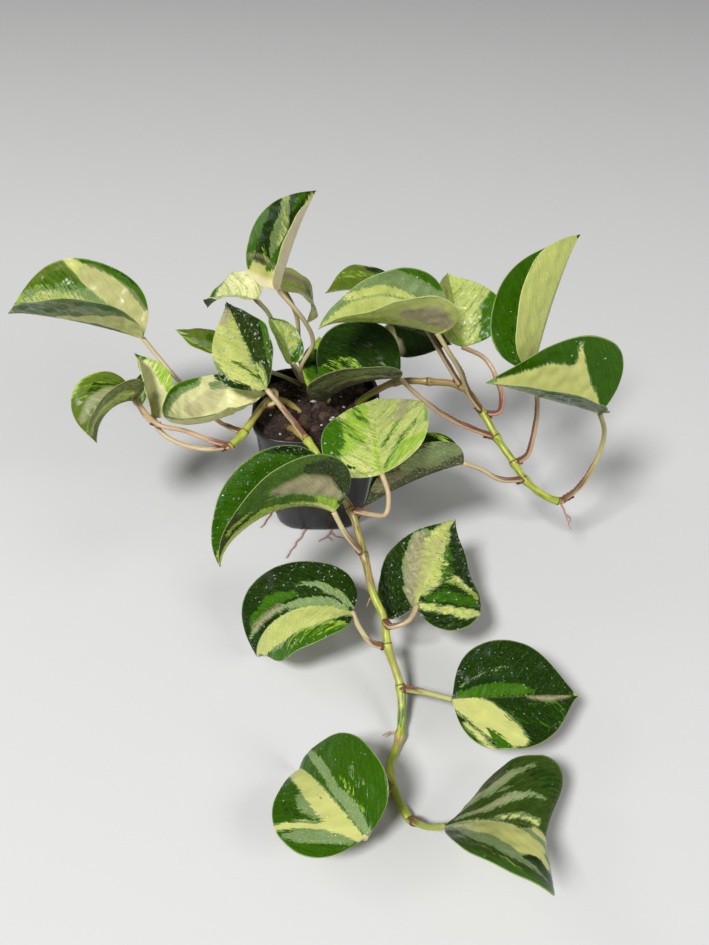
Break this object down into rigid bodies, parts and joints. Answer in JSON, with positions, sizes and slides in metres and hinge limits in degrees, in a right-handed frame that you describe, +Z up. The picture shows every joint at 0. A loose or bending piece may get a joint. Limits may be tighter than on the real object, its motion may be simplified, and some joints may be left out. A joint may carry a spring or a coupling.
{
  "type": "potted manjula pothos",
  "caption": "Trailing variegated pothos with heart-shaped green and cream leaves on arching stems, growing from a small square nursery pot.",
  "frame": {"origin": "centre of the pot's underside, on the surface that it stands on", "axes": "+Z up, -Y towards the vine that trails in front, +X towards the vine that hangs to the right"},
  "size_m": [0.4431, 0.4223, 0.2349],
  "materials": {
    "pot": "semi-gloss black plastic",
    "soil": "rough crumbly potting mix",
    "stem": "satin plant skin",
    "leaf": "satin leaf with cream variegation",
    "root": "dull root skin"
  },
  "bodies": {
    "root": {"pot": "pot", "soil": "soil", "stem_front": "stem", "leaf_front_1": "leaf", "leaf_front_2": "leaf", "leaf_front_3": "leaf", "leaf_front_4": "leaf", "leaf_front_5": "leaf", "leaf_front_6": "leaf", "leaf_front_7": "leaf", "leaf_front_8": "leaf", "stem_right": "stem", "leaf_right_1": "leaf", "leaf_right_2": "leaf", "leaf_right_3": "leaf", "leaf_right_4": "leaf", "leaf_right_5": "leaf", "leaf_right_6": "leaf", "leaf_right_7": "leaf", "stem_left": "stem", "leaf_left_1": "leaf", "leaf_left_2": "leaf", "leaf_left_3": "leaf", "leaf_left_4": "leaf", "leaf_left_5": "leaf", "stem_crown": "stem", "leaf_crown_1": "leaf", "leaf_crown_2": "leaf", "leaf_crown_3": "leaf", "leaf_crown_4": "leaf", "leaf_crown_5": "leaf", "leaf_crown_6": "leaf", "leaf_crown_7": "leaf", "drain_root_long": "root", "drain_root_forked": "root", "drain_root_short": "root"}
  },
  "joints": []
}
